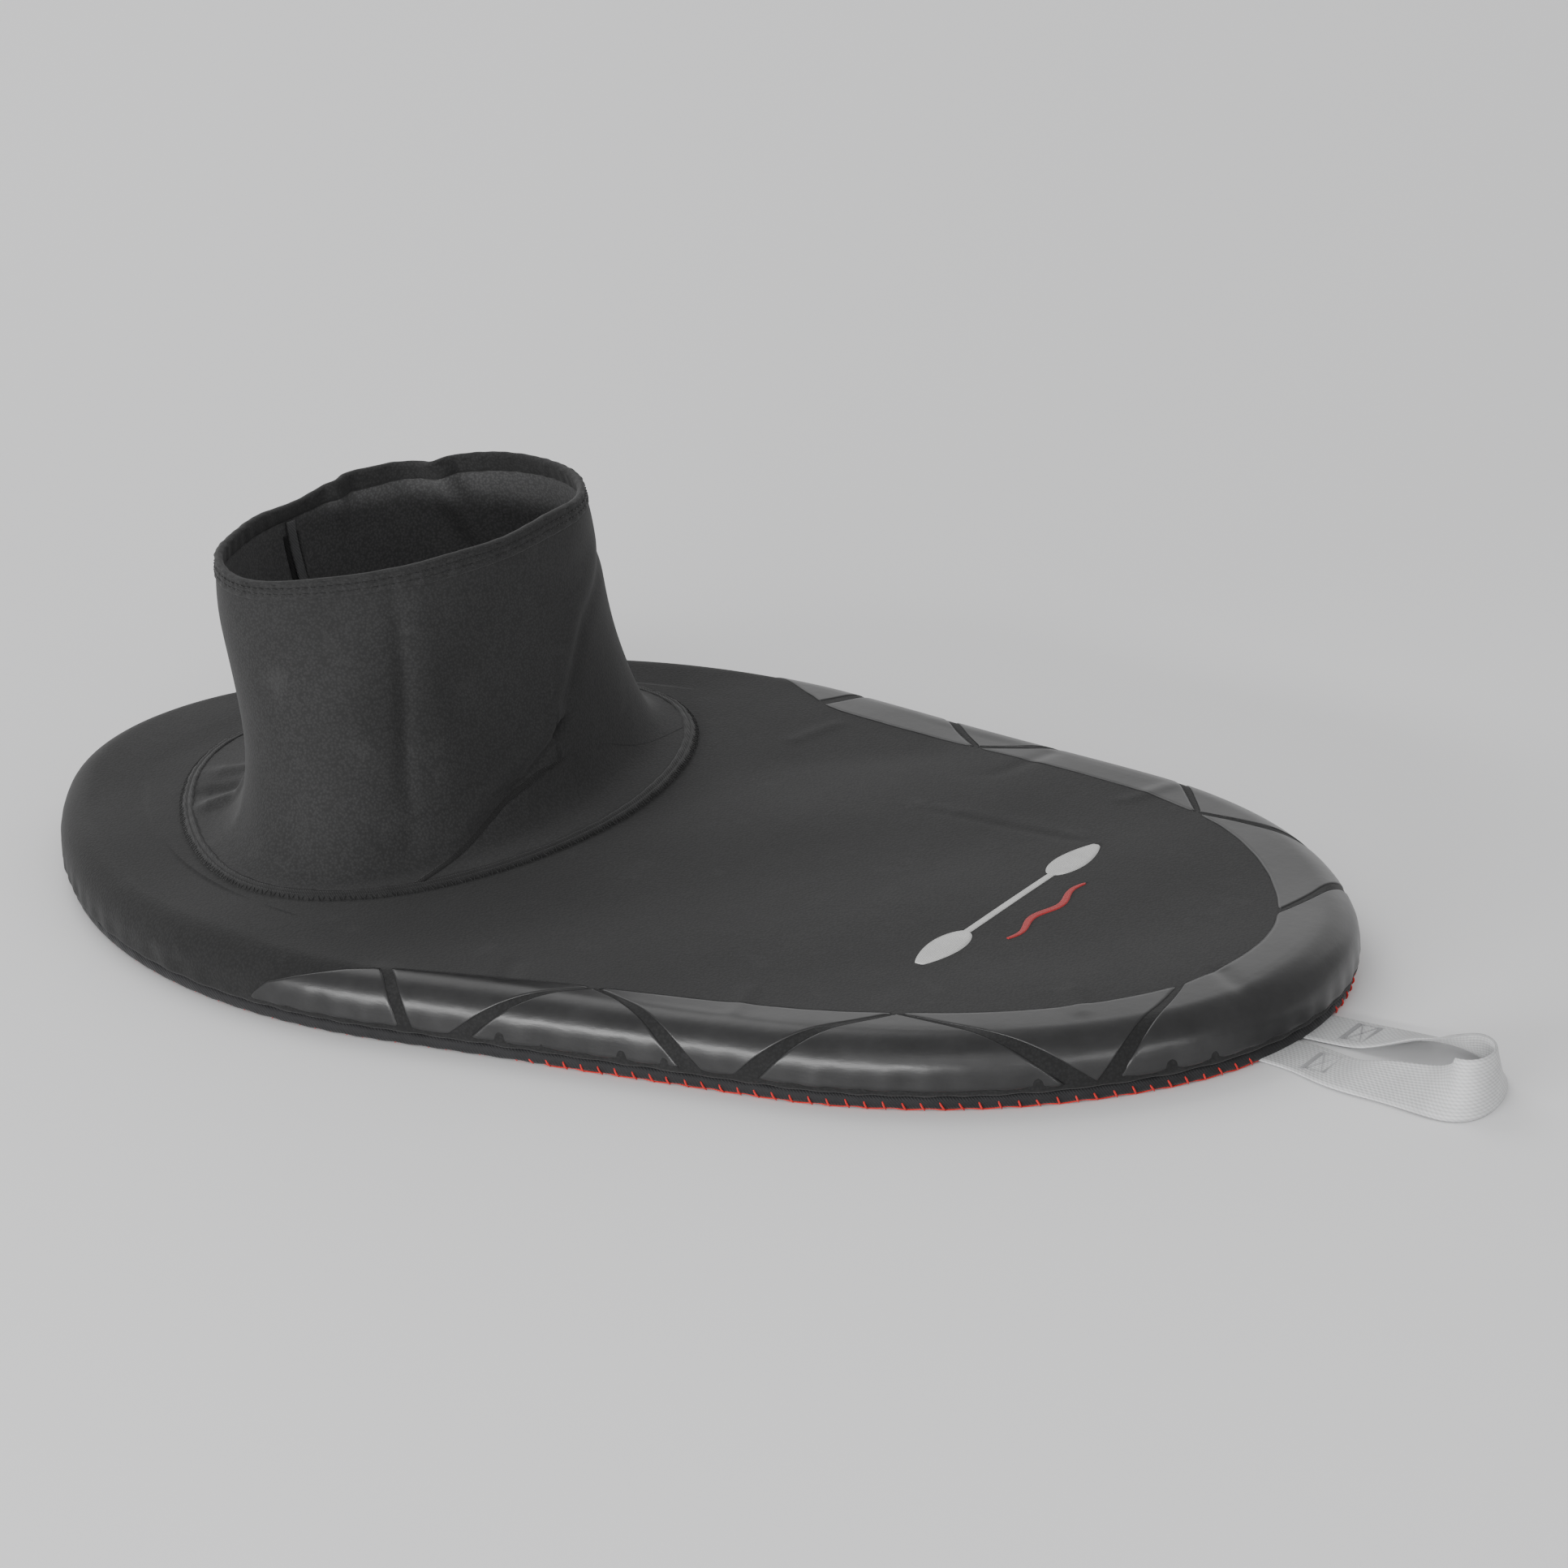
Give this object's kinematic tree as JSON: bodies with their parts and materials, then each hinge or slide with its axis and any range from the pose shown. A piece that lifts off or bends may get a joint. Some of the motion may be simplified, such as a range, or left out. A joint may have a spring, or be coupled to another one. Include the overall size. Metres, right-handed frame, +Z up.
{
  "type": "kayak spray skirt",
  "caption": "Neoprene kayak spray skirt: egg-shaped deck with a rubber-coated stretch rim, standing waist tunnel and webbing grab loop.",
  "frame": {"origin": "middle of the deck's length on its centre line, in the plane of the hem's underside", "axes": "+X towards the bow end and the grab loop, +Y to port, +Z up through the waist tunnel"},
  "size_m": [1.0353, 0.5358, 0.2275],
  "materials": {
    "neoprene_deck": "matte jersey-faced neoprene",
    "neoprene_tunnel": "matte jersey-faced neoprene",
    "rubber_coating": "semi-gloss rubber print",
    "hem_tape": "matte binding",
    "bungee": "braided sheath",
    "sleeve": "heat-shrink sleeve",
    "red_thread": "bonded thread",
    "black_thread": "bonded thread",
    "grey_webbing": "woven webbing",
    "grey_thread": "bonded thread",
    "seam_tape": "bonded tape",
    "white_print": "screen print",
    "red_print": "screen print"
  },
  "bodies": {
    "deck": {"deck_panel": "neoprene_deck", "shock_cord": "bungee", "cord_splice": "sleeve", "hem_casing": "hem_tape", "hem_stitching": "red_thread", "coating_bow": "rubber_coating", "coating_left_1": "rubber_coating", "coating_left_2": "rubber_coating", "coating_left_3": "rubber_coating", "coating_left_4": "rubber_coating", "coating_left_5": "rubber_coating", "coating_left_6": "rubber_coating", "coating_right_1": "rubber_coating", "coating_right_2": "rubber_coating", "coating_right_3": "rubber_coating", "coating_right_4": "rubber_coating", "coating_right_5": "rubber_coating", "coating_right_6": "rubber_coating", "graphic_paddle": "white_print", "graphic_wave": "red_print", "base_seam_tape": "seam_tape", "base_seam_inner_tape": "seam_tape", "base_seam_stitching": "black_thread", "tunnel_flange": "neoprene_tunnel", "tunnel_flex": "neoprene_tunnel", "front_gusset": "neoprene_tunnel", "gusset_seam_tape": "seam_tape", "loop_anchor_patch": "seam_tape", "loop_root_left": "grey_webbing", "loop_root_right": "grey_webbing"},
    "tunnel": {"tunnel_tube": "neoprene_tunnel", "back_seam_tape": "seam_tape", "hang_tab": "seam_tape", "tunnel_top_hem": "neoprene_tunnel", "top_stitching_upper": "black_thread", "top_stitching_lower": "black_thread"},
    "grab_loop": {"grab_loop_webbing": "grey_webbing", "bar_tack_left": "grey_thread", "bar_tack_right": "grey_thread"}
  },
  "joints": [
    {"name": "tunnel_lean", "type": "hinge", "parent": "deck", "child": "tunnel", "pos_m": [-0.197, 0, 0.06], "axis": [0, 1, 0], "range_deg": [-10, 10], "stiffness_Nm_per_rad": 4, "deforming": ["tunnel_flex", "front_gusset", "gusset_seam_tape"]},
    {"name": "grab_loop_lift", "type": "hinge", "parent": "deck", "child": "grab_loop", "pos_m": [0.451, -0.014, 0.0015], "axis": [0, -1, 0], "range_deg": [0, 90]}
  ]
}
